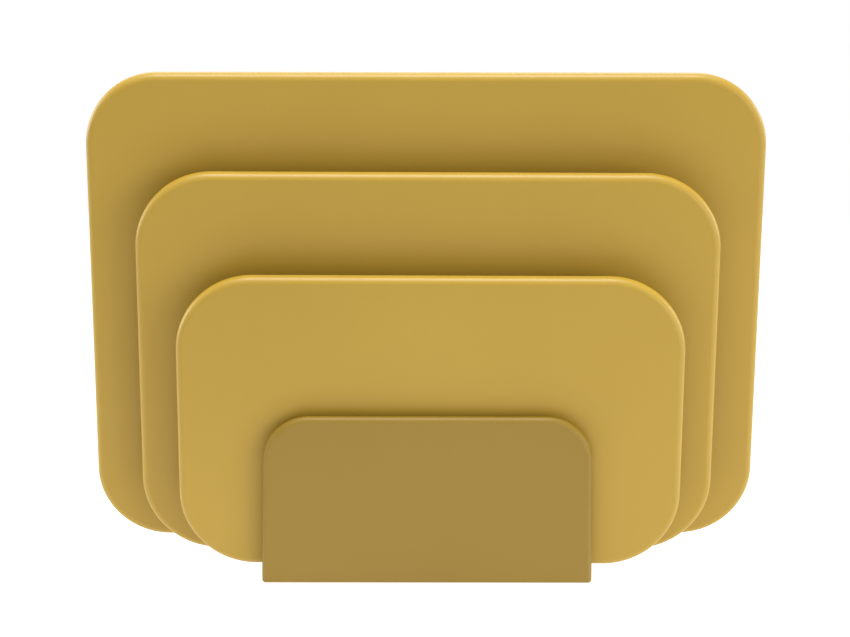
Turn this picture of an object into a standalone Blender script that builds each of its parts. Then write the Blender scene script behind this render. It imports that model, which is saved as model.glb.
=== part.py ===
"""Three nested chopping boards standing in a slotted rack with a low front panel.

X runs left to right, Y from the front panel to the back panel, Z up.
The origin is on the table, below the middle of the rack.
"""

import math

import bmesh
import bpy

MM = 0.001

# Clearances
FIT_GAP = 0.3 * MM

# Boards: width, height and corner radius of each, and the shape they share
BOARD_SIZES = {
    "board_small": (283.0 * MM, 170.5 * MM, 43.0 * MM),
    "board_medium": (326.0 * MM, 223.5 * MM, 43.0 * MM),
    "board_large": (380.0 * MM, 275.0 * MM, 41.0 * MM),
}
BOARD_THICKNESS = 10.0 * MM
BOARD_EDGE_RADIUS = 4.0 * MM
BOARD_BOTTOM = 8.5 * MM

# Uprights: the front and back panels and the two dividers are plates of one shape
UPRIGHT_THICKNESS = 6.5 * MM
UPRIGHT_PITCH = 22.0 * MM
UPRIGHT_TOP = 100.7 * MM
UPRIGHT_WIDTH_AT_TABLE = 187.2 * MM
UPRIGHT_WIDTH_AT_TOP = 183.7 * MM
UPRIGHT_TOP_RADIUS = 26.5 * MM
UPRIGHT_BOTTOM_RADIUS = 1.5 * MM
UPRIGHT_EDGE_RADIUS = 3.0 * MM
UPRIGHT_BOTTOM_EDGE_RADIUS = 1.2 * MM
PANEL_BOTTOM = 1.0 * MM

# Base: a grooved bar between the two panels
BASE_BOTTOM = 1.3 * MM
BASE_TOP = 11.9 * MM
BASE_WIDTH = 186.7 * MM
BOARD_GROOVE_WIDTH = 11.0 * MM
BOARD_GROOVE_RADIUS = 3.0 * MM
DIVIDER_GROOVE_DEPTH = 2.7 * MM

# Flange: the foot of each panel, which reaches under the base to the nearest divider
FLANGE_HALF_WIDTH = 62.0 * MM
FLANGE_THICKNESS = 4.0 * MM
FLANGE_END_Y = 5.5 * MM

# Screws: a row of three goes up through each flange and the base into a divider
SCREW_SPACING = 50.0 * MM
SCREW_HEAD_RADIUS = 3.0 * MM
SCREW_HEAD_HEIGHT = 1.8 * MM
SCREW_SHANK_RADIUS = 1.5 * MM
SCREW_SHANK_LENGTH = 15.0 * MM
SCREW_POINT_LENGTH = 1.5 * MM
SCREW_POINT_RADIUS = 0.5 * MM
SCREW_HEAD_CHAMFER = 0.4 * MM
SCREW_SOCKET_FLATS = 2.0 * MM
SCREW_SOCKET_DEPTH = 1.0 * MM
COUNTERBORE_DEPTH = 2.2 * MM

# Feet: non-slip discs in shallow pockets under the base
FOOT_X = 78.0 * MM
FOOT_Y = 19.5 * MM
FOOT_RADIUS = 8.0 * MM
FOOT_HEIGHT = 2.3 * MM
FOOT_EDGE_RADIUS = 0.6 * MM

# Smoothness: steps in an arc or a turn, and the least angle that is shaded as a crease
CORNER_STEPS = 14
EDGE_STEPS = 5
SMALL_STEPS = 4
TURNED_STEPS = 24
CREASE_ANGLE = math.radians(40)

# Worked out from the sizes above
PANEL_Y = 1.5 * UPRIGHT_PITCH
DIVIDER_Y = 0.5 * UPRIGHT_PITCH
BASE_HALF_DEPTH = PANEL_Y - UPRIGHT_THICKNESS / 2 - FIT_GAP
BOARD_GROOVE_FLOOR = BOARD_BOTTOM - FIT_GAP
DIVIDER_GROOVE_FLOOR = BASE_TOP - DIVIDER_GROOVE_DEPTH
DIVIDER_BOTTOM = DIVIDER_GROOVE_FLOOR + FIT_GAP
FLANGE_TOP = BASE_BOTTOM + FLANGE_THICKNESS
SCREW_HEAD_BOTTOM = BASE_BOTTOM + COUNTERBORE_DEPTH - FIT_GAP - SCREW_HEAD_HEIGHT
SCREW_TIP = SCREW_HEAD_BOTTOM + SCREW_HEAD_HEIGHT + SCREW_SHANK_LENGTH

# Materials: colour, roughness and metallic share
BOARD_PLASTIC = ((0.53, 0.34, 0.08, 1.0), 0.4, 0.0)
RACK_PLASTIC = ((0.38, 0.26, 0.06, 1.0), 0.55, 0.0)
FOOT_RUBBER = ((0.03, 0.03, 0.03, 1.0), 0.8, 0.0)
SCREW_STEEL = ((0.6, 0.6, 0.6, 1.0), 0.3, 1.0)


def clear_scene():
    for thing in list(bpy.data.objects):
        bpy.data.objects.remove(thing, do_unlink=True)


def give_material(thing, look):
    colour, roughness, metallic = look
    material = bpy.data.materials.new(thing.name + "_material")
    material.use_nodes = True
    shader = material.node_tree.nodes["Principled BSDF"]
    shader.inputs["Base Color"].default_value = colour
    shader.inputs["Roughness"].default_value = roughness
    shader.inputs["Metallic"].default_value = metallic
    thing.data.materials.clear()
    thing.data.materials.append(material)


def new_object(name, mesh_builder, location=(0.0, 0.0, 0.0), smooth=True):
    mesh = bpy.data.meshes.new(name)
    bmesh.ops.recalc_face_normals(mesh_builder, faces=mesh_builder.faces)
    mesh_builder.to_mesh(mesh)
    mesh_builder.free()
    if smooth:
        mesh.shade_smooth()
        mesh.set_sharp_from_angle(angle=CREASE_ANGLE)
    thing = bpy.data.objects.new(name, mesh)
    thing.location = location
    bpy.context.scene.collection.objects.link(thing)
    return thing


def arc(centre_a, centre_b, radius, start_deg, end_deg, steps):
    points = []
    for step in range(steps + 1):
        angle = math.radians(start_deg + (end_deg - start_deg) * step / steps)
        points.append((centre_a + radius * math.cos(angle), centre_b + radius * math.sin(angle)))
    return points


def skin_rings(builder, rings):
    """Join rings of equal length, given from one end to the other, and cap both ends."""
    rows = [[builder.verts.new(point) for point in ring] for ring in rings]
    count = len(rows[0])
    for row, following in zip(rows, rows[1:]):
        for i in range(count):
            j = (i + 1) % count
            builder.faces.new((row[i], row[j], following[j], following[i]))
    builder.faces.new(list(reversed(rows[0])))
    builder.faces.new(rows[-1])


def plate_outline(half_width_at, bottom, top, bottom_radius, top_radius):
    """Rounded outline in X and Z, whose sides may lean inwards, anticlockwise from the lower right."""
    low_half = half_width_at(bottom)
    high_half = half_width_at(top)
    lean = math.atan2(low_half - high_half, top - bottom)
    lean_deg = math.degrees(lean)

    def centre_x(z, radius):
        return half_width_at(z) - radius / math.cos(lean)

    low_x = centre_x(bottom + bottom_radius, bottom_radius)
    high_x = centre_x(top - top_radius, top_radius)
    low_z = bottom + bottom_radius
    high_z = top - top_radius
    right = arc(low_x, low_z, bottom_radius, -90, lean_deg, CORNER_STEPS)
    right += arc(high_x, high_z, top_radius, lean_deg, 90, CORNER_STEPS)
    return right + [(-x, z) for x, z in reversed(right)]


def build_plate(name, half_width_at, bottom, top, radii, edge_radii, thickness, location):
    """Upright plate with rounded corners and rounded edges, centred on Y."""
    bottom_radius, top_radius = radii
    side_edge, bottom_edge = edge_radii
    half = thickness / 2
    angles = [math.radians(90 * step / EDGE_STEPS) for step in range(EDGE_STEPS + 1)]
    front_half = [(1 - math.sin(a), -half + side_edge * (1 - math.cos(a))) for a in angles]
    profile = front_half + [(share, -y) for share, y in reversed(front_half)]
    rings = []
    for share, y in profile:
        side = share * side_edge
        low = share * bottom_edge

        def inset_half_width(z, side=side):
            return half_width_at(z) - side

        outline = plate_outline(
            inset_half_width, bottom + low, top - side, bottom_radius - low, top_radius - side
        )
        rings.append([(x, y, z) for x, z in outline])
    builder = bmesh.new()
    skin_rings(builder, rings)
    return new_object(name, builder, location)


def build_board(name, y):
    width, height, corner_radius = BOARD_SIZES[name]

    def half_width_at(_z):
        return width / 2

    board = build_plate(
        name,
        half_width_at,
        0.0,
        height,
        (corner_radius, corner_radius),
        (BOARD_EDGE_RADIUS, BOARD_EDGE_RADIUS),
        BOARD_THICKNESS,
        (0.0, y, BOARD_BOTTOM),
    )
    give_material(board, BOARD_PLASTIC)
    return board


def upright_half_width(z):
    share = z / UPRIGHT_TOP
    return (UPRIGHT_WIDTH_AT_TABLE + (UPRIGHT_WIDTH_AT_TOP - UPRIGHT_WIDTH_AT_TABLE) * share) / 2


def build_upright(name, y, bottom):
    return build_plate(
        name,
        upright_half_width,
        bottom,
        UPRIGHT_TOP,
        (UPRIGHT_BOTTOM_RADIUS, UPRIGHT_TOP_RADIUS),
        (UPRIGHT_EDGE_RADIUS, UPRIGHT_BOTTOM_EDGE_RADIUS),
        UPRIGHT_THICKNESS,
        (0.0, y, 0.0),
    )


def box_object(name, low, high):
    builder = bmesh.new()
    corners = [(low[0], low[1]), (high[0], low[1]), (high[0], high[1]), (low[0], high[1])]
    floor = [builder.verts.new((x, y, low[2])) for x, y in corners]
    roof = [builder.verts.new((x, y, high[2])) for x, y in corners]
    builder.faces.new(list(reversed(floor)))
    builder.faces.new(roof)
    for i in range(4):
        j = (i + 1) % 4
        builder.faces.new((floor[i], floor[j], roof[j], roof[i]))
    return new_object(name, builder, smooth=False)


def turned_object(name, profile, places, radius_at=None, smooth=True):
    """Solid turned about Z at each place. The profile is (radius, z) from the bottom up.

    radius_at(radius, angle) may bend a ring away from a circle, such as into a hexagon.
    """
    builder = bmesh.new()
    for place_x, place_y in places:
        rings = []
        for radius, z in profile:
            ring = []
            for step in range(TURNED_STEPS):
                angle = 2 * math.pi * step / TURNED_STEPS
                reach = radius_at(radius, angle) if radius_at else radius
                x = place_x + reach * math.cos(angle)
                y = place_y + reach * math.sin(angle)
                ring.append((x, y, z))
            rings.append(ring)
        skin_rings(builder, rings)
    return new_object(name, builder, smooth=smooth)


def combine(target, tool, operation):
    """Cut tool out of target, or join tool to it, and keep only the target."""
    modifier = target.modifiers.new(tool.name, "BOOLEAN")
    modifier.operation = operation
    modifier.solver = "EXACT"
    modifier.object = tool
    bpy.context.view_layer.update()
    graph = bpy.context.evaluated_depsgraph_get()
    mesh = bpy.data.meshes.new_from_object(target.evaluated_get(graph))
    target.modifiers.clear()
    target.data = mesh
    bpy.data.objects.remove(tool, do_unlink=True)


def drill(target, places, radius, bottom, top):
    """Upright round holes through or into target."""
    profile = [(radius, bottom), (radius, top)]
    tool = turned_object("hole_cutter", profile, places, smooth=False)
    combine(target, tool, "DIFFERENCE")


def screw_places(side):
    """Name and place of each screw in the front (side -1) or rear (side +1) row."""
    row = "front" if side < 0 else "rear"
    columns = {"left": -SCREW_SPACING, "middle": 0.0, "right": SCREW_SPACING}
    return {f"screw_{row}_{column}": (x, side * DIVIDER_Y) for column, x in columns.items()}


def build_panel(name, side):
    """Front (side -1) or back (side +1) panel, with the flange that reaches under the base."""
    panel = build_upright(name, side * PANEL_Y, PANEL_BOTTOM)
    reach = sorted((side * PANEL_Y, side * FLANGE_END_Y))
    low = (-FLANGE_HALF_WIDTH, reach[0], BASE_BOTTOM)
    high = (FLANGE_HALF_WIDTH, reach[1], FLANGE_TOP)
    combine(panel, box_object("flange", low, high), "UNION")
    places = screw_places(side).values()
    counterbore_top = BASE_BOTTOM + COUNTERBORE_DEPTH
    drill(panel, places, SCREW_HEAD_RADIUS + FIT_GAP, 0.0, counterbore_top)
    drill(panel, places, SCREW_SHANK_RADIUS + FIT_GAP, 0.0, FLANGE_TOP + FLANGE_THICKNESS)
    panel.data.set_sharp_from_angle(angle=CREASE_ANGLE)
    give_material(panel, RACK_PLASTIC)
    return panel


def build_divider(name, side):
    divider = build_upright(name, side * DIVIDER_Y, DIVIDER_BOTTOM)
    hole_top = SCREW_TIP + FIT_GAP
    drill(divider, screw_places(side).values(), SCREW_SHANK_RADIUS + FIT_GAP, 0.0, hole_top)
    divider.data.set_sharp_from_angle(angle=CREASE_ANGLE)
    give_material(divider, RACK_PLASTIC)
    return divider


def board_groove(y):
    """Rounded groove for the lower edge of a board, from its back lip to its front lip."""
    half = BOARD_GROOVE_WIDTH / 2
    radius = BOARD_GROOVE_RADIUS
    floor = BOARD_GROOVE_FLOOR
    back = arc(y + half - radius, floor + radius, radius, 0, -90, SMALL_STEPS)
    front = arc(y - half + radius, floor + radius, radius, -90, -180, SMALL_STEPS)
    return [(y + half, BASE_TOP)] + back + front + [(y - half, BASE_TOP)]


def divider_groove(y):
    half = UPRIGHT_THICKNESS / 2 + FIT_GAP
    floor = DIVIDER_GROOVE_FLOOR
    return [(y + half, BASE_TOP), (y + half, floor), (y - half, floor), (y - half, BASE_TOP)]


def build_base():
    """Bar with five grooves along its top: three for boards and two for dividers."""
    outline = [(-BASE_HALF_DEPTH, BASE_BOTTOM), (BASE_HALF_DEPTH, BASE_BOTTOM)]
    outline.append((BASE_HALF_DEPTH, BASE_TOP))
    outline += board_groove(UPRIGHT_PITCH)
    outline += divider_groove(DIVIDER_Y)
    outline += board_groove(0.0)
    outline += divider_groove(-DIVIDER_Y)
    outline += board_groove(-UPRIGHT_PITCH)
    outline.append((-BASE_HALF_DEPTH, BASE_TOP))
    builder = bmesh.new()
    half = BASE_WIDTH / 2
    skin_rings(builder, [[(x, y, z) for y, z in outline] for x in (-half, half)])
    base = new_object("stand_base", builder)

    flange_half = FLANGE_HALF_WIDTH + FIT_GAP
    for side in (-1, 1):
        reach = sorted((side * PANEL_Y, side * (FLANGE_END_Y - FIT_GAP)))
        low = (-flange_half, reach[0], 0.0)
        high = (flange_half, reach[1], FLANGE_TOP + FIT_GAP)
        combine(base, box_object("flange_recess", low, high), "DIFFERENCE")
        drill(base, screw_places(side).values(), SCREW_SHANK_RADIUS + FIT_GAP, 0.0, BASE_TOP)
    pocket_top = FOOT_HEIGHT + FIT_GAP
    drill(base, foot_places().values(), FOOT_RADIUS + FIT_GAP, 0.0, pocket_top)
    base.data.set_sharp_from_angle(angle=CREASE_ANGLE)
    give_material(base, RACK_PLASTIC)
    return base


def foot_places():
    return {
        "foot_front_left": (-FOOT_X, -FOOT_Y),
        "foot_front_right": (FOOT_X, -FOOT_Y),
        "foot_rear_left": (-FOOT_X, FOOT_Y),
        "foot_rear_right": (FOOT_X, FOOT_Y),
    }


def build_foot(name, place):
    centre = FOOT_RADIUS - FOOT_EDGE_RADIUS
    rim = arc(centre, FOOT_EDGE_RADIUS, FOOT_EDGE_RADIUS, -90, 0, SMALL_STEPS)
    foot = turned_object(name, rim + [(FOOT_RADIUS, FOOT_HEIGHT)], [place])
    give_material(foot, FOOT_RUBBER)
    return foot


def socket_reach(radius, angle):
    """Turn the rings of a screw's drive socket into hexagons, and leave the others round."""
    if radius > SCREW_SOCKET_FLATS / 2:
        return radius
    sector = math.pi / 3
    return radius / math.cos((angle % sector) - sector / 2)


def build_screw(name, place):
    """Screw standing head down, with a hexagonal socket in its head."""
    socket = SCREW_SOCKET_FLATS / 2
    head_top = SCREW_HEAD_BOTTOM + SCREW_HEAD_HEIGHT
    profile = [
        (socket, SCREW_HEAD_BOTTOM + SCREW_SOCKET_DEPTH),
        (socket, SCREW_HEAD_BOTTOM),
        (SCREW_HEAD_RADIUS - SCREW_HEAD_CHAMFER, SCREW_HEAD_BOTTOM),
        (SCREW_HEAD_RADIUS, SCREW_HEAD_BOTTOM + SCREW_HEAD_CHAMFER),
        (SCREW_HEAD_RADIUS, head_top),
        (SCREW_SHANK_RADIUS, head_top),
        (SCREW_SHANK_RADIUS, SCREW_TIP - SCREW_POINT_LENGTH),
        (SCREW_POINT_RADIUS, SCREW_TIP),
    ]
    screw = turned_object(name, profile, [place], socket_reach)
    give_material(screw, SCREW_STEEL)
    return screw


def main():
    clear_scene()
    build_board("board_small", -UPRIGHT_PITCH)
    build_board("board_medium", 0.0)
    build_board("board_large", UPRIGHT_PITCH)
    build_panel("front_panel", -1)
    build_panel("back_panel", 1)
    build_divider("divider_front", -1)
    build_divider("divider_rear", 1)
    build_base()
    for name, place in foot_places().items():
        build_foot(name, place)
    for side in (-1, 1):
        for name, place in screw_places(side).items():
            build_screw(name, place)


main()
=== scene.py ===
"""Three nested chopping boards in their rack, on a white light table in soft studio light."""

import math

import bmesh
import bpy
from mathutils import Matrix, Vector


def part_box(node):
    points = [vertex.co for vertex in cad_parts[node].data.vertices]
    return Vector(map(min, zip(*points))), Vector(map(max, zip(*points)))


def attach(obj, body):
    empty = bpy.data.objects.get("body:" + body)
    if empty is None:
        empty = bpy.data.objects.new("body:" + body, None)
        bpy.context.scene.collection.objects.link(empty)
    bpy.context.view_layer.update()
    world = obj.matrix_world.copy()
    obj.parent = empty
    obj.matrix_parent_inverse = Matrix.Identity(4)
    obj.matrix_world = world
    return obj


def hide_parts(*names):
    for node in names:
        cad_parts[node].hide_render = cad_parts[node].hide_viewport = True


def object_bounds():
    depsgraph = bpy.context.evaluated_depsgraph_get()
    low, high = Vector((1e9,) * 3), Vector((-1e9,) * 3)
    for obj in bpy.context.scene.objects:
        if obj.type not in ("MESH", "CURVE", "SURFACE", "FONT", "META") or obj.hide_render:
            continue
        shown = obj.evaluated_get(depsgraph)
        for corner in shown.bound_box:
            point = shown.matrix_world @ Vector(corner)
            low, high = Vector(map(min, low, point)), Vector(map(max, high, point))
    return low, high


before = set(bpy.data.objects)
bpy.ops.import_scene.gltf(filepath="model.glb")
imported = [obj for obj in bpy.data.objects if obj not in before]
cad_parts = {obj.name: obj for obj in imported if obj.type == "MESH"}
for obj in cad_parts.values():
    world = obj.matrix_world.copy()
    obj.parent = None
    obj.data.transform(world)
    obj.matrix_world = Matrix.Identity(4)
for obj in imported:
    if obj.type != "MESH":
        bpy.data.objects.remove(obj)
cad_low, cad_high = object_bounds()

MM = 0.001

# Clearance between pieces that fit together
FIT_GAP = 0.3 * MM

# Boards: shape details that the boxes of their CAD nodes don't give
BOARD_EDGE_RADIUS = 4.0 * MM
BOARD_CORNER_RADIUS = {"small": 43.0 * MM, "medium": 43.0 * MM, "large": 41.0 * MM}

# How each board stands in the play of its groove: how far right of the middle, and its turn about Z
BOARD_SHIFT = {"small": 1.5 * MM, "medium": 0.0, "large": -0.9 * MM}
BOARD_TURN = {"small": math.radians(-0.3), "medium": math.radians(-0.3), "large": math.radians(0.3)}

# Uprights: the panels and dividers, whose sides lean inwards, and the panels' flanges
UPRIGHT_EDGE_RADIUS = 3.0 * MM
UPRIGHT_BOTTOM_EDGE_RADIUS = 1.2 * MM
UPRIGHT_TOP_RADIUS = 26.5 * MM
UPRIGHT_BOTTOM_RADIUS = 1.5 * MM
UPRIGHT_LEAN = math.radians(1.0)
FLANGE_HALF_WIDTH = 62.0 * MM
FLANGE_THICKNESS = 4.0 * MM
FLANGE_ROUNDING = 0.4 * MM
FLANGE_ROUNDING_STEPS = 2
COUNTERBORE_DEPTH = 2.2 * MM

# Base
BOARD_GROOVE_WIDTH = 11.0 * MM
BOARD_GROOVE_RADIUS = 3.0 * MM
DIVIDER_GROOVE_RADIUS = 0.2 * MM
BASE_LIP_RADIUS = 0.6 * MM
BASE_END_CHAMFER = 0.4 * MM

# The block that cuts a recess reaches this many times as far out as the base
RECESS_OVERSHOOT = 1.2

# Least share that an inset is divided by at a corner, so that a sharp corner doesn't shoot out
MITRE_LIMIT = 0.3

# Feet
FOOT_RIM_RADIUS = 0.6 * MM
FOOT_GROOVE_DEPTH = 0.35 * MM
FOOT_GROOVE_SHARES = (0.3, 0.5, 0.7)

# Screws
SCREW_SOCKET_RADIUS = 1.0 * MM
SCREW_SOCKET_DEPTH = 1.0 * MM
SCREW_SOCKET_CENTRE = 0.05 * MM
SCREW_HEAD_HEIGHT = 1.8 * MM
SCREW_HEAD_ROUNDING = 0.8 * MM
SCREW_PLAIN_NECK = 0.8 * MM
SCREW_POINT_LENGTH = 1.5 * MM
THREAD_PITCH = 1.1 * MM
THREAD_DEPTH = 0.32 * MM
THREAD_RUN_OUT = 0.05 * MM
THREAD_STEPS_PER_TURN = 10

# Smoothness: steps in an arc or a turn, and the least angle that is shaded as a crease
CORNER_STEPS = 28
EDGE_STEPS = 10
LIP_STEPS = 5
ROUND_STEPS = 8
TURNED_STEPS = 48
CREASE_ANGLE = math.radians(35.0)

# Camera, aimed at a point on the rack's middle plane
CAMERA_DISTANCE = 1.401
CAMERA_PITCH = math.radians(18.07)
CAMERA_TURN = math.radians(-0.51)
CAMERA_ROLL = math.radians(0.28)
CAMERA_LENS = 105.45
CAMERA_SENSOR_WIDTH = 36.0
AIM_SIDE = -1.5 * MM
AIM_HEIGHT_SHARE = 0.52

# Softboxes: azimuth and elevation in degrees and power in watts, all of one size at one distance
SOFTBOXES = {
    "overhead_softbox": (0.0, 88.0, 28.0),
    "front_right_softbox": (50.0, 8.0, 7.5),
    "left_rim_softbox": (-110.0, 10.0, 14.0),
    "right_rim_softbox": (110.0, 10.0, 10.0),
    "rear_softbox": (180.0, 25.0, 4.0),
}
SOFTBOX_WIDTH = 1.0
SOFTBOX_HEIGHT = 0.8
SOFTBOX_DISTANCE = 1.6

# White tent and light table: the table's glow fades from FLOOR_FADE_START out to its rim
ROOM_LIGHT = 0.60
FLOOR_RADIUS = 0.8
FLOOR_STEPS = 96
FLOOR_GLOW_NEAR = 0.96
FLOOR_GLOW_FAR = 0.58
FLOOR_FADE_START = 0.3

# Colours: linear red, green, blue and alpha
WHITE = (1.0, 1.0, 1.0, 1.0)
MUSTARD = (0.445, 0.28, 0.028, 1.0)
MUSTARD_DEEP = (0.425, 0.265, 0.024, 1.0)
MUSTARD_WORN = (0.49, 0.315, 0.036, 1.0)
OLIVE = (0.285, 0.175, 0.0125, 1.0)
OLIVE_DEEP = (0.27, 0.164, 0.0105, 1.0)
OLIVE_WORN = (0.32, 0.20, 0.019, 1.0)
RUBBER = (0.028, 0.028, 0.03, 1.0)
RUBBER_DUSTY = (0.05, 0.05, 0.052, 1.0)
ZINC = (0.62, 0.62, 0.6, 1.0)
ZINC_DULL = (0.5, 0.49, 0.46, 1.0)
TABLE_WHITE = (0.38, 0.38, 0.38, 1.0)
TABLE_SHADE = (0.36, 0.36, 0.36, 1.0)

# Surfaces: the middle part of a noise that is stretched to its full range, the size of a normal's Y
# where an edge starts and where it is full, and how much smoother plastic is on its edges
NOISE_MIDDLE = (0.3, 0.7)
EDGE_NORMAL_Y = (1.0, 0.4)
EDGE_POLISH = 0.04
PLASTIC_IOR = 1.49


# ---------------------------------------------------------------- materials

def shader_material(name):
    material = bpy.data.materials.new(name)
    material.use_nodes = True
    nodes = material.node_tree.nodes
    return material, nodes, material.node_tree.links, nodes["Principled BSDF"]


def noise(nodes, links, place, scale, detail=3.0, roughness=0.5):
    texture = nodes.new("ShaderNodeTexNoise")
    texture.inputs["Scale"].default_value = scale
    texture.inputs["Detail"].default_value = detail
    texture.inputs["Roughness"].default_value = roughness
    links.new(place.outputs["Object"], texture.inputs["Vector"])
    return texture.outputs["Fac"]


def rescale(nodes, links, value, old_range, new_range):
    """Turn old_range of the value into new_range, and hold it at the ends of new_range beyond."""
    node = nodes.new("ShaderNodeMapRange")
    node.inputs["From Min"].default_value = old_range[0]
    node.inputs["From Max"].default_value = old_range[1]
    node.inputs["To Min"].default_value = new_range[0]
    node.inputs["To Max"].default_value = new_range[1]
    links.new(value, node.inputs["Value"])
    return node.outputs["Result"]


def spread(nodes, links, value, low, high):
    """Stretch a noise's middle part to run from low to high."""
    return rescale(nodes, links, value, NOISE_MIDDLE, (low, high))


def blend_colours(nodes, links, factor, first, second):
    """Mix two colours, each of them a fixed colour or a node's output."""
    mix = nodes.new("ShaderNodeMix")
    mix.data_type = "RGBA"
    links.new(factor, mix.inputs["Factor"])
    for socket, colour in ((mix.inputs["A"], first), (mix.inputs["B"], second)):
        if isinstance(colour, tuple):
            socket.default_value = colour
        else:
            links.new(colour, socket)
    return mix.outputs["Result"]


def bump(nodes, links, height, strength, distance, under=None):
    """Bump from a height, on top of the bump called under."""
    node = nodes.new("ShaderNodeBump")
    node.inputs["Strength"].default_value = strength
    node.inputs["Distance"].default_value = distance
    links.new(height, node.inputs["Height"])
    if under:
        links.new(under, node.inputs["Normal"])
    return node.outputs["Normal"]


def edge_share(nodes, links):
    """1 on rounded edges and 0 on the flat faces, which look along Y."""
    geometry = nodes.new("ShaderNodeNewGeometry")
    split = nodes.new("ShaderNodeSeparateXYZ")
    links.new(geometry.outputs["Normal"], split.inputs["Vector"])
    size = nodes.new("ShaderNodeMath")
    size.operation = "ABSOLUTE"
    links.new(split.outputs["Y"], size.inputs[0])
    return rescale(nodes, links, size.outputs["Value"], EDGE_NORMAL_Y, (0.0, 1.0))


def moulded_plastic(name, colour, deep, worn, gloss, grain):
    """Moulded plastic: cloudy pigment, a fine spark-eroded grain and slightly polished, paler edges."""
    material, nodes, links, shader = shader_material(name)
    place = nodes.new("ShaderNodeTexCoord")
    cloud = spread(nodes, links, noise(nodes, links, place, scale=9.0, detail=4.0), 0.0, 1.0)
    speck = spread(nodes, links, noise(nodes, links, place, scale=900.0, detail=2.0), 0.0, 0.25)
    wear = spread(nodes, links, noise(nodes, links, place, scale=60.0, detail=5.0), 0.1, 0.5)
    edge = edge_share(nodes, links)
    patchy = nodes.new("ShaderNodeMath")
    patchy.operation = "MULTIPLY"
    links.new(edge, patchy.inputs[0])
    links.new(wear, patchy.inputs[1])
    body = blend_colours(nodes, links, cloud, colour, deep)
    body = blend_colours(nodes, links, speck, body, deep)
    body = blend_colours(nodes, links, patchy.outputs["Value"], body, worn)
    links.new(body, shader.inputs["Base Color"])

    smudge = noise(nodes, links, place, scale=22.0, detail=5.0, roughness=0.6)
    polished = nodes.new("ShaderNodeMath")
    polished.operation = "MULTIPLY_ADD"
    polished.inputs[1].default_value = -EDGE_POLISH
    links.new(edge, polished.inputs[0])
    links.new(spread(nodes, links, smudge, gloss - 0.03, gloss + 0.04), polished.inputs[2])
    links.new(polished.outputs["Value"], shader.inputs["Roughness"])
    shader.inputs["IOR"].default_value = PLASTIC_IOR

    waves = noise(nodes, links, place, scale=35.0, detail=2.0)
    grains = noise(nodes, links, place, scale=2600.0, detail=2.0)
    wavy = bump(nodes, links, waves, strength=0.02, distance=0.4 * MM)
    grainy = bump(nodes, links, grains, strength=grain, distance=0.03 * MM, under=wavy)
    links.new(grainy, shader.inputs["Normal"])
    return material


def rubber_material():
    """Dull black rubber with dust in its grain."""
    material, nodes, links, shader = shader_material("foot_rubber_surface")
    place = nodes.new("ShaderNodeTexCoord")
    dust = noise(nodes, links, place, scale=260.0, detail=5.0, roughness=0.65)
    dust = spread(nodes, links, dust, 0.0, 1.0)
    links.new(blend_colours(nodes, links, dust, RUBBER, RUBBER_DUSTY), shader.inputs["Base Color"])
    links.new(spread(nodes, links, dust, 0.68, 0.85), shader.inputs["Roughness"])
    grains = noise(nodes, links, place, scale=3200.0, detail=3.0)
    links.new(bump(nodes, links, grains, strength=0.35, distance=0.05 * MM), shader.inputs["Normal"])
    return material


def steel_material():
    """Zinc-plated steel with dull patches and fine scratches."""
    material, nodes, links, shader = shader_material("screw_zinc_surface")
    place = nodes.new("ShaderNodeTexCoord")
    dull = noise(nodes, links, place, scale=700.0, detail=4.0, roughness=0.6)
    dull = spread(nodes, links, dull, 0.0, 1.0)
    links.new(blend_colours(nodes, links, dull, ZINC, ZINC_DULL), shader.inputs["Base Color"])
    links.new(spread(nodes, links, dull, 0.24, 0.42), shader.inputs["Roughness"])
    shader.inputs["Metallic"].default_value = 1.0
    scratches = noise(nodes, links, place, scale=5200.0, detail=2.0)
    links.new(bump(nodes, links, scratches, strength=0.15, distance=0.02 * MM), shader.inputs["Normal"])
    return material


# ---------------------------------------------------------------- shapes

def arc(centre_a, centre_b, radius, start_deg, end_deg, steps):
    points = []
    for step in range(steps + 1):
        angle = math.radians(start_deg + (end_deg - start_deg) * step / steps)
        points.append((centre_a + radius * math.cos(angle), centre_b + radius * math.sin(angle)))
    return points


def skin_rings(builder, rings):
    """Join rings of equal length, given from one end to the other, and cap both ends."""
    rows = [[builder.verts.new(point) for point in ring] for ring in rings]
    count = len(rows[0])
    for row, following in zip(rows, rows[1:]):
        for i in range(count):
            j = (i + 1) % count
            builder.faces.new((row[i], row[j], following[j], following[i]))
    builder.faces.new(list(reversed(rows[0])))
    builder.faces.new(rows[-1])


def piece_from(builder, name, material=None):
    mesh = bpy.data.meshes.new(name)
    bmesh.ops.recalc_face_normals(builder, faces=builder.faces)
    builder.to_mesh(mesh)
    builder.free()
    piece = bpy.data.objects.new(name, mesh)
    bpy.context.scene.collection.objects.link(piece)
    if material:
        mesh.materials.append(material)
    return piece


def soften(piece):
    """Smooth shading that keeps flat faces flat and real corners crisp."""
    piece.data.shade_smooth()
    piece.data.set_sharp_from_angle(angle=CREASE_ANGLE)
    weighted = piece.modifiers.new("weighted", "WEIGHTED_NORMAL")
    weighted.keep_sharp = True
    weighted.weight = 100


def bake_modifiers(piece):
    bpy.context.view_layer.update()
    graph = bpy.context.evaluated_depsgraph_get()
    mesh = bpy.data.meshes.new_from_object(piece.evaluated_get(graph))
    piece.modifiers.clear()
    piece.data = mesh


def combine(piece, tool, operation):
    """Cut tool out of piece, or join tool to it, and remove tool."""
    modifier = piece.modifiers.new("combine", "BOOLEAN")
    modifier.operation = operation
    modifier.solver = "EXACT"
    modifier.object = tool
    bake_modifiers(piece)
    bpy.data.objects.remove(tool, do_unlink=True)


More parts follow.
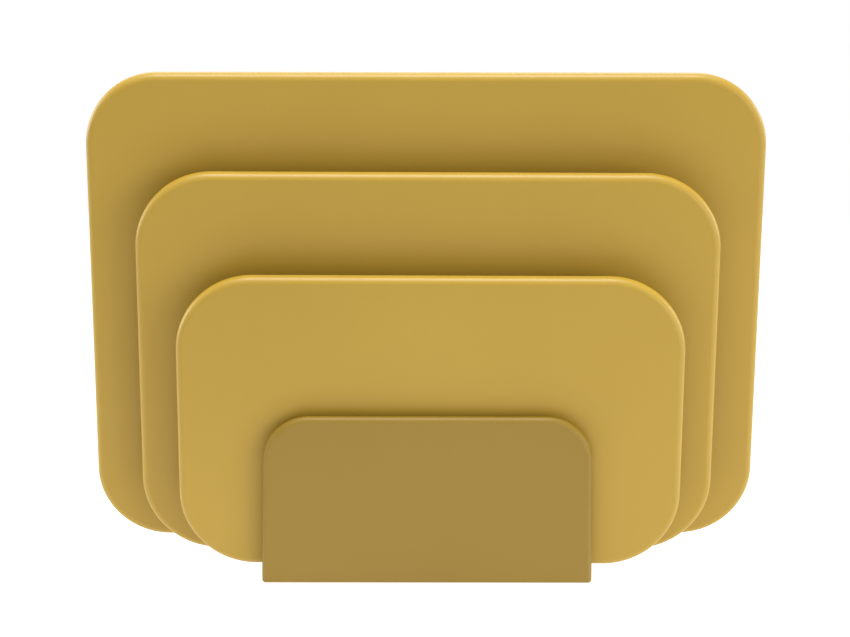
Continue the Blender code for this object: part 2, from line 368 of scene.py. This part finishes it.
def plate_outline(half_at_bottom, lean, heights, radii):
    """Rounded outline in X and Z, whose sides lean inwards, anticlockwise from the lower right."""
    bottom, top = heights
    bottom_radius, top_radius = radii
    lean_deg = math.degrees(lean)

    def centre_x(z, radius):
        return half_at_bottom - math.tan(lean) * (z - bottom) - radius / math.cos(lean)

    low_z = bottom + bottom_radius
    high_z = top - top_radius
    right = arc(centre_x(low_z, bottom_radius), low_z, bottom_radius, -90, lean_deg, CORNER_STEPS)
    right += arc(centre_x(high_z, top_radius), high_z, top_radius, lean_deg, 90, CORNER_STEPS)
    return right + [(-x, z) for x, z in reversed(right)]


def plate(name, low, high, lean, radii, edge_radii, material):
    """Upright plate that fills the box low to high, with rounded corners and rounded edges."""
    bottom_radius, top_radius = radii
    side_edge, bottom_edge = edge_radii
    middle_x = (low.x + high.x) / 2
    half_width = (high.x - low.x) / 2
    angles = [math.radians(90 * step / EDGE_STEPS) for step in range(EDGE_STEPS + 1)]
    front = [(1 - math.sin(a), low.y + side_edge * (1 - math.cos(a))) for a in angles]
    back = [(share, low.y + high.y - y) for share, y in reversed(front)]
    rings = []
    for share, y in front + back:
        side = share * side_edge
        rise = share * bottom_edge
        heights = (low.z + rise, high.z - side)
        inset_radii = (bottom_radius - rise, top_radius - side)
        outline = plate_outline(half_width - side, lean, heights, inset_radii)
        rings.append([(middle_x + x, y, z) for x, z in outline])
    builder = bmesh.new()
    skin_rings(builder, rings)
    return piece_from(builder, name, material)


def block(low, high):
    builder = bmesh.new()
    bmesh.ops.create_cube(builder, size=1.0)
    centre = (Vector(low) + Vector(high)) / 2
    size = Vector(high) - Vector(low)
    for vertex in builder.verts:
        vertex.co = Vector([centre[k] + vertex.co[k] * size[k] for k in range(3)])
    return piece_from(builder, "block")


def turned(name, profile, place, material=None, reach_at=None):
    """Solid turned about Z at place = (x, y). The profile is (radius, z) from one end to the other.

    reach_at(radius, z, angle) may bend a ring away from a circle, such as into a hexagon.
    """
    rings = []
    for radius, z in profile:
        ring = []
        for step in range(TURNED_STEPS):
            angle = 2 * math.pi * step / TURNED_STEPS
            reach = reach_at(radius, z, angle) if reach_at else radius
            ring.append((place[0] + reach * math.cos(angle), place[1] + reach * math.sin(angle), z))
        rings.append(ring)
    builder = bmesh.new()
    skin_rings(builder, rings)
    return piece_from(builder, name, material)


def drill(piece, place, radius, bottom, top):
    combine(piece, turned("drill", [(radius, bottom), (radius, top)], place), "DIFFERENCE")


# ---------------------------------------------------------------- boards and uprights

def middle_of(box):
    """X and Y of a box's middle."""
    low, high = box
    return ((low.x + high.x) / 2, (low.y + high.y) / 2)


def radius_of(box):
    """Radius of an upright round piece that fills a box."""
    low, high = box
    return (high.x - low.x) / 2


def screw_boxes(row):
    return [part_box(f"screw_{row}_{column}") for column in ("left", "middle", "right")]


def finish_piece(piece, node, body):
    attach(piece, body)
    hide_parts(node)


def make_board(size, material):
    node = f"board_{size}"
    low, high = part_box(node)
    corner = BOARD_CORNER_RADIUS[size]
    edges = (BOARD_EDGE_RADIUS, BOARD_EDGE_RADIUS)
    board = plate(f"{size}_chopping_board", low, high, 0.0, (corner, corner), edges, material)
    pivot = Vector((0.0, (low.y + high.y) / 2, 0.0))
    turn = Matrix.Rotation(BOARD_TURN[size], 4, "Z")
    shift = Matrix.Translation(Vector((BOARD_SHIFT[size], 0.0, 0.0)))
    board.data.transform(shift @ Matrix.Translation(pivot) @ turn @ Matrix.Translation(-pivot))
    soften(board)
    finish_piece(board, node, f"{size}_board")


def make_upright(name, low, high, material):
    radii = (UPRIGHT_BOTTOM_RADIUS, UPRIGHT_TOP_RADIUS)
    edges = (UPRIGHT_EDGE_RADIUS, UPRIGHT_BOTTOM_EDGE_RADIUS)
    return plate(name, low, high, UPRIGHT_LEAN, radii, edges, material)


def make_divider(row, material):
    node = f"divider_{row}"
    low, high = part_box(node)
    divider = make_upright(f"{row}_divider", low, high, material)
    soften(divider)
    finish_piece(divider, node, "rack")


def make_panel(node, name, row, material):
    """End panel with the flange under the base, drilled for its row of screws."""
    low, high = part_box(node)
    divider_low, divider_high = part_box(f"divider_{row}")
    thickness = divider_high.y - divider_low.y
    base_low, base_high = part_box("stand_base")
    plate_low = low.copy()
    plate_high = high.copy()
    flange_low = Vector((-FLANGE_HALF_WIDTH, low.y, base_low.z))
    flange_high = Vector((FLANGE_HALF_WIDTH, high.y, base_low.z + FLANGE_THICKNESS))
    if row == "front":
        plate_high.y = low.y + thickness
        flange_low.y = low.y + thickness / 2
    else:
        plate_low.y = high.y - thickness
        flange_high.y = high.y - thickness / 2
    panel = make_upright(name, plate_low, plate_high, material)
    flange = block(flange_low, flange_high)
    rounding = flange.modifiers.new("rounding", "BEVEL")
    rounding.width = FLANGE_ROUNDING
    rounding.segments = FLANGE_ROUNDING_STEPS
    bake_modifiers(flange)
    combine(panel, flange, "UNION")
    for box in screw_boxes(row):
        head_radius = radius_of(box)
        drill(panel, middle_of(box), head_radius + FIT_GAP, 0.0, base_low.z + COUNTERBORE_DEPTH)
        drill(panel, middle_of(box), head_radius / 2 + FIT_GAP, 0.0, base_high.z)
    soften(panel)
    finish_piece(panel, node, "rack")


# ---------------------------------------------------------------- base

def lip_arc(y, z, start_deg, end_deg):
    return arc(y, z, BASE_LIP_RADIUS, start_deg, end_deg, LIP_STEPS)


def groove(y, half_width, floor, top, radius):
    """Groove with rounded lips, from its back lip to its front lip."""
    lip_z = top - BASE_LIP_RADIUS
    points = lip_arc(y + half_width + BASE_LIP_RADIUS, lip_z, 90, 180)
    points += arc(y + half_width - radius, floor + radius, radius, 0, -90, ROUND_STEPS)
    points += arc(y - half_width + radius, floor + radius, radius, -90, -180, ROUND_STEPS)
    points += lip_arc(y - half_width - BASE_LIP_RADIUS, lip_z, 0, 90)
    return points


def inset_outline(points, distance):
    """The anticlockwise outline moved inwards by distance."""
    moved = []
    count = len(points)
    for i, point in enumerate(points):
        before = Vector(points[i - 1])
        here = Vector(point)
        after = Vector(points[(i + 1) % count])
        first = (here - before).normalized()
        second = (after - here).normalized()
        along = (first + second).normalized()
        inward = Vector((-along.y, along.x))
        moved.append(tuple(here + inward * distance / max(MITRE_LIMIT, along.dot(first))))
    return moved


def base_outline(low, high):
    """Outline in Y and Z with a groove under each board and a close one under each divider."""
    board_low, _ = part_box("board_medium")
    divider_low, divider_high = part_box("divider_rear")
    divider_y = middle_of((divider_low, divider_high))[1]
    divider_half = (divider_high.y - divider_low.y) / 2 + FIT_GAP
    grooves = []
    for size in ("large", "medium", "small"):
        board_y = middle_of(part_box(f"board_{size}"))[1]
        grooves.append((board_y, BOARD_GROOVE_WIDTH / 2, board_low.z - FIT_GAP, BOARD_GROOVE_RADIUS))
    for y in (divider_y, -divider_y):
        grooves.append((y, divider_half, divider_low.z - FIT_GAP, DIVIDER_GROOVE_RADIUS))

    corner = BASE_LIP_RADIUS
    outline = lip_arc(low.y + corner, low.z + corner, 180, 270)
    outline += lip_arc(high.y - corner, low.z + corner, -90, 0)
    outline += lip_arc(high.y - corner, high.z - corner, 0, 90)
    for y, half_width, floor, radius in sorted(grooves, reverse=True):
        outline += groove(y, half_width, floor, high.z, radius)
    outline += lip_arc(low.y + corner, high.z - corner, 90, 180)
    return outline


def flange_recess(low, high, panel, side):
    """Block that cuts room for a panel's flange into the base, from its outer side."""
    panel_low, panel_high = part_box(panel)
    flange_end = panel_high.y if side < 0 else panel_low.y
    near, far = sorted((side * high.y * RECESS_OVERSHOOT, flange_end - side * FIT_GAP))
    half = FLANGE_HALF_WIDTH + FIT_GAP
    return block((-half, near, 0.0), (half, far, low.z + FLANGE_THICKNESS + FIT_GAP))


def make_base(material):
    """Grooved bar with chamfered ends, and with recesses, screw holes and foot pockets underneath."""
    low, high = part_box("stand_base")
    outline = base_outline(low, high)
    end_outline = inset_outline(outline, BASE_END_CHAMFER)
    sections = [
        (low.x, end_outline),
        (low.x + BASE_END_CHAMFER, outline),
        (high.x - BASE_END_CHAMFER, outline),
        (high.x, end_outline),
    ]
    builder = bmesh.new()
    skin_rings(builder, [[(x, y, z) for y, z in points] for x, points in sections])
    base = piece_from(builder, "grooved_base", material)

    for row, panel, side in (("front", "front_panel", -1), ("rear", "back_panel", 1)):
        combine(base, flange_recess(low, high, panel, side), "DIFFERENCE")
        for box in screw_boxes(row):
            drill(base, middle_of(box), radius_of(box) / 2 + FIT_GAP, 0.0, high.z)
        for end in ("left", "right"):
            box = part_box(f"foot_{row}_{end}")
            drill(base, middle_of(box), radius_of(box) + FIT_GAP, 0.0, box[1].z + FIT_GAP)
    soften(base)
    finish_piece(base, "stand_base", "rack")


# ---------------------------------------------------------------- feet and screws

def make_foot(node, name, material):
    """Disc with a rounded rim and three grip grooves underneath."""
    low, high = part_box(node)
    radius = radius_of((low, high))
    rim = FOOT_RIM_RADIUS
    depth = FOOT_GROOVE_DEPTH
    profile = []
    for share in FOOT_GROOVE_SHARES:
        middle = radius * share
        profile += [(middle - depth, low.z), (middle, low.z + depth), (middle + depth, low.z)]
    profile += arc(radius - rim, low.z + rim, rim, -90, 0, ROUND_STEPS)
    profile += [(radius, high.z - rim / 2), (radius - rim / 2, high.z)]
    foot = turned(name, profile, middle_of((low, high)), material)
    soften(foot)
    finish_piece(foot, node, "rack")


def make_screw(node, name, material):
    """Pan-head screw, head down, with a hexagonal socket and a thread-forming thread."""
    low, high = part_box(node)
    head_radius = radius_of((low, high))
    shank_radius = head_radius / 2
    head_top = low.z + SCREW_HEAD_HEIGHT
    thread_start = head_top + SCREW_PLAIN_NECK
    thread_end = high.z - SCREW_POINT_LENGTH
    socket = SCREW_SOCKET_RADIUS
    socket_floor = low.z + SCREW_SOCKET_DEPTH
    rounding = SCREW_HEAD_ROUNDING

    def reach_at(radius, z, angle):
        if radius == socket:
            sector = math.pi / 3
            return radius / math.cos((angle % sector) - sector / 2)
        if thread_start < z < thread_end:
            turn = (z / THREAD_PITCH - angle / (2 * math.pi)) % 1.0
            crest = max(0.0, 1.0 - abs(turn - 0.5) * 4)
            return radius - THREAD_DEPTH * (1.0 - crest)
        return radius

    profile = [(SCREW_SOCKET_CENTRE, socket_floor), (socket, socket_floor), (socket, low.z)]
    profile += arc(head_radius - rounding, low.z + rounding, rounding, -90, 0, ROUND_STEPS)
    profile += [(head_radius, head_top), (shank_radius, head_top)]
    steps = int((thread_end - thread_start) / (THREAD_PITCH / THREAD_STEPS_PER_TURN))
    for step in range(steps + 1):
        profile.append((shank_radius, thread_start + (thread_end - thread_start) * step / steps))
    profile.append((shank_radius - THREAD_DEPTH, thread_end + THREAD_RUN_OUT))
    profile.append((shank_radius / 3, high.z))
    screw = turned(name, profile, middle_of((low, high)), material, reach_at)
    soften(screw)
    finish_piece(screw, node, "rack")


# ---------------------------------------------------------------- studio

def make_floor():
    """A round light table, which glows enough to look white and to soften the shadows."""
    builder = bmesh.new()
    bmesh.ops.create_circle(builder, cap_ends=True, segments=FLOOR_STEPS, radius=FLOOR_RADIUS)
    floor = piece_from(builder, "floor")
    material, nodes, links, shader = shader_material("pale_floor")
    place = nodes.new("ShaderNodeTexCoord")
    tone = spread(nodes, links, noise(nodes, links, place, scale=3.0), 0.0, 1.0)
    links.new(blend_colours(nodes, links, tone, TABLE_WHITE, TABLE_SHADE), shader.inputs["Base Color"])
    shader.inputs["Roughness"].default_value = 0.9
    shader.inputs["Specular IOR Level"].default_value = 0.1
    shader.inputs["Emission Color"].default_value = WHITE
    distance = nodes.new("ShaderNodeVectorMath")
    distance.operation = "LENGTH"
    links.new(place.outputs["Object"], distance.inputs[0])
    fade = (FLOOR_FADE_START, FLOOR_RADIUS)
    glow = rescale(nodes, links, distance.outputs["Value"], fade, (FLOOR_GLOW_NEAR, FLOOR_GLOW_FAR))
    links.new(glow, shader.inputs["Emission Strength"])
    floor.data.materials.append(material)


def make_surroundings():
    """A white tent all round, which lights the object gently and is seen as plain white."""
    world = bpy.data.worlds.new("white_tent")
    world.use_nodes = True
    nodes = world.node_tree.nodes
    background = nodes["Background"]
    background.inputs["Color"].default_value = WHITE
    seen = nodes.new("ShaderNodeLightPath")
    strength = nodes.new("ShaderNodeMath")
    strength.operation = "MAXIMUM"
    strength.inputs[1].default_value = ROOM_LIGHT
    world.node_tree.links.new(seen.outputs["Is Camera Ray"], strength.inputs[0])
    world.node_tree.links.new(strength.outputs["Value"], background.inputs["Strength"])
    bpy.context.scene.world = world


def direction(azimuth, elevation):
    """Unit vector azimuth round from the front (-Y) to the right (+X), and elevation up."""
    level = math.cos(elevation)
    return Vector((math.sin(azimuth) * level, -math.cos(azimuth) * level, math.sin(elevation)))


def make_softbox(name, azimuth_deg, elevation_deg, power):
    """Rectangular soft light that faces the middle of the object."""
    towards = direction(math.radians(azimuth_deg), math.radians(elevation_deg))
    data = bpy.data.lights.new(name, "AREA")
    data.shape = "RECTANGLE"
    data.size = SOFTBOX_WIDTH
    data.size_y = SOFTBOX_HEIGHT
    data.energy = power
    light = bpy.data.objects.new(name, data)
    light.location = (cad_low + cad_high) / 2 + towards * SOFTBOX_DISTANCE
    light.rotation_euler = towards.to_track_quat("Z", "Y").to_euler()
    light.visible_camera = False
    bpy.context.scene.collection.objects.link(light)


def make_studio():
    make_floor()
    make_surroundings()
    for name, (azimuth_deg, elevation_deg, power) in SOFTBOXES.items():
        make_softbox(name, azimuth_deg, elevation_deg, power)
    bpy.context.scene.view_settings.view_transform = "Standard"


def make_camera():
    data = bpy.data.cameras.new("camera")
    data.lens = CAMERA_LENS
    data.sensor_width = CAMERA_SENSOR_WIDTH
    camera = bpy.data.objects.new("camera", data)
    aim = Vector((AIM_SIDE, 0.0, cad_low.z + (cad_high.z - cad_low.z) * AIM_HEIGHT_SHARE))
    camera.location = aim + direction(CAMERA_TURN, CAMERA_PITCH) * CAMERA_DISTANCE
    camera.rotation_mode = "XYZ"
    camera.rotation_euler = (math.pi / 2 - CAMERA_PITCH, 0.0, CAMERA_TURN)
    camera.rotation_euler.rotate_axis("Z", CAMERA_ROLL)
    bpy.context.scene.collection.objects.link(camera)
    bpy.context.scene.camera = camera


def main():
    board_plastic = moulded_plastic(
        "board_plastic_surface", MUSTARD, MUSTARD_DEEP, MUSTARD_WORN, gloss=0.46, grain=0.18
    )
    rack_plastic = moulded_plastic(
        "rack_plastic_surface", OLIVE, OLIVE_DEEP, OLIVE_WORN, gloss=0.5, grain=0.4
    )
    rubber = rubber_material()
    steel = steel_material()
    for size in ("small", "medium", "large"):
        make_board(size, board_plastic)
    make_panel("front_panel", "front_end_panel", "front", rack_plastic)
    make_panel("back_panel", "rear_end_panel", "rear", rack_plastic)
    for row in ("front", "rear"):
        make_divider(row, rack_plastic)
        for side in ("left", "right"):
            make_foot(f"foot_{row}_{side}", f"{row}_{side}_foot", rubber)
        for column in ("left", "middle", "right"):
            make_screw(f"screw_{row}_{column}", f"{row}_{column}_screw", steel)
    make_base(rack_plastic)
    make_studio()
    make_camera()


main()
